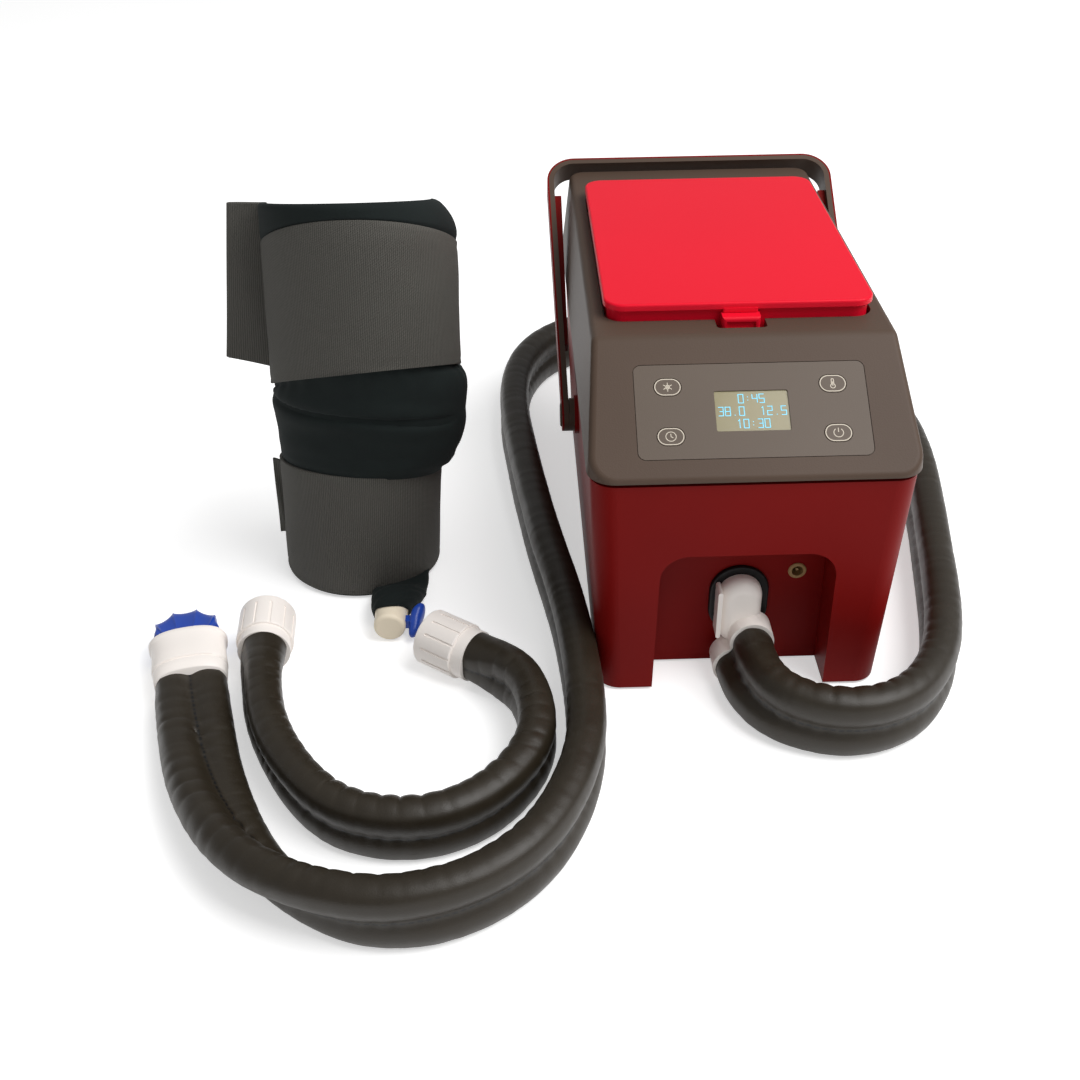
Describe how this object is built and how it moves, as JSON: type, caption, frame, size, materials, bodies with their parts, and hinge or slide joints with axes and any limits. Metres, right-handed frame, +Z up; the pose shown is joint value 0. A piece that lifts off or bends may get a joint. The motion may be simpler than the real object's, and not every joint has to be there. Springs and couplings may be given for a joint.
{
  "type": "hot cold therapy machine",
  "caption": "Cooler-sized water therapy unit with a lidded tank, sloping control panel and bail handle, a twin hose, a loose extension hose and a standing knee wrap.",
  "frame": {"origin": "on the table under the middle of the machine", "axes": "+Z up, -Y towards the user in front of the control panel, +X to the user's right"},
  "size_m": [0.6064, 0.7378, 0.3117],
  "materials": {
    "housing_red": "fine satin grain",
    "lid_red": "semi-gloss",
    "cover_charcoal": "fine satin grain",
    "panel_film": "satin",
    "clear_lens": "clear",
    "display_khaki": "satin",
    "switch_black": "satin",
    "board_green": "satin",
    "steel": "brushed",
    "rubber_black": "matt",
    "tank_white": "satin",
    "liner_foam": "matt",
    "port_black": "satin",
    "coupling_white": "semi-gloss",
    "coupling_cream": "semi-gloss",
    "release_blue": "semi-gloss",
    "hose_black": "coated cloth, soft sheen",
    "neoprene": "matt knit",
    "strap_grey": "ribbed elastic",
    "bladder_grey": "coated",
    "aluminium": "milled",
    "tube_clear": "smooth silicone"
  },
  "bodies": {
    "machine": {"base_plate": "housing_red", "base_screws": "steel", "control_board": "board_green", "dc_jack": "steel", "display_lens": "clear_lens", "display_module": "display_khaki", "elbow_coupling": "coupling_white", "extension_collar_far": "coupling_white", "extension_collar_near": "coupling_white", "fan_frame": "port_black", "handle_caps": "cover_charcoal", "handle_posts": "cover_charcoal", "heat_sink": "aluminium", "hinge_pins": "steel", "hook_tab": "strap_grey", "hose_extension": "hose_black", "hose_main": "hose_black", "housing": "housing_red", "key_switches": "switch_black", "main_collar": "coupling_white", "panel_overlay": "panel_film", "port_bezel": "port_black", "port_manifold": "port_black", "power_board": "board_green", "pump_body": "port_black", "return_tube": "tube_clear", "rubber_feet": "rubber_black", "strap_lower": "strap_grey", "strap_tail": "strap_grey", "strap_upper": "strap_grey", "suction_tube": "tube_clear", "supply_tube": "tube_clear", "tank_filter": "tank_white", "thermo_block": "aluminium", "top_cover": "cover_charcoal", "water_tank": "tank_white", "wrap_bladder": "bladder_grey", "wrap_body": "neoprene", "wrap_coupling": "coupling_cream"},
    "lid": {"lid": "lid_red", "lid_liner": "liner_foam", "lid_seal": "rubber_black"},
    "lid_latch": {"lid_latch": "lid_red"},
    "handle": {"handle_frame": "cover_charcoal", "handle_trim": "housing_red", "handle_ribs": "housing_red"},
    "key_1": {"key_1": "panel_film"},
    "key_2": {"key_2": "panel_film"},
    "key_3": {"key_3": "panel_film"},
    "key_4": {"key_4": "panel_film"},
    "fan_rotor": {"fan_rotor": "port_black"},
    "pump_impeller": {"pump_impeller": "coupling_white"},
    "main_crown": {"main_crown": "release_blue"},
    "wrap_lever": {"wrap_lever": "release_blue"}
  },
  "joints": [
    {"name": "lid_hinge", "type": "hinge", "parent": "machine", "child": "lid", "pos_m": [0, 0.146, 0.235], "axis": [-1, 0, 0], "range_deg": [0, 100]},
    {"name": "latch_press", "type": "slide", "parent": "lid", "child": "lid_latch", "axis": [0, 1, 0], "range_m": [0, 0.0016], "stiffness_N_per_m": 600},
    {"name": "handle_swing", "type": "hinge", "parent": "machine", "child": "handle", "pos_m": [0, 0, 0.11], "axis": [1, 0, 0], "range_deg": [0, 118]},
    {"name": "key_1_press", "type": "slide", "parent": "machine", "child": "key_1", "axis": [0, 0.5595, -0.8288], "range_m": [0, 0.0004], "stiffness_N_per_m": 500},
    {"name": "key_2_press", "type": "slide", "parent": "machine", "child": "key_2", "axis": [0, 0.5595, -0.8288], "range_m": [0, 0.0004], "stiffness_N_per_m": 500},
    {"name": "key_3_press", "type": "slide", "parent": "machine", "child": "key_3", "axis": [0, 0.5595, -0.8288], "range_m": [0, 0.0004], "stiffness_N_per_m": 500},
    {"name": "key_4_press", "type": "slide", "parent": "machine", "child": "key_4", "axis": [0, 0.5595, -0.8288], "range_m": [0, 0.0004], "stiffness_N_per_m": 500},
    {"name": "fan_spin", "type": "hinge", "parent": "machine", "child": "fan_rotor", "pos_m": [0, 0.1777, 0.108], "axis": [0, 1, 0], "continuous": true},
    {"name": "pump_spin", "type": "hinge", "parent": "machine", "child": "pump_impeller", "pos_m": [-0.042, -0.022, 0.0285], "axis": [0, 1, 0], "continuous": true},
    {"name": "crown_press", "type": "slide", "parent": "machine", "child": "main_crown", "axis": [0.228, -0.9737, 0], "range_m": [0, 0.0025], "stiffness_N_per_m": 700},
    {"name": "lever_press", "type": "slide", "parent": "machine", "child": "wrap_lever", "axis": [-1, 0, 0], "range_m": [0, 0.0015], "stiffness_N_per_m": 400}
  ]
}
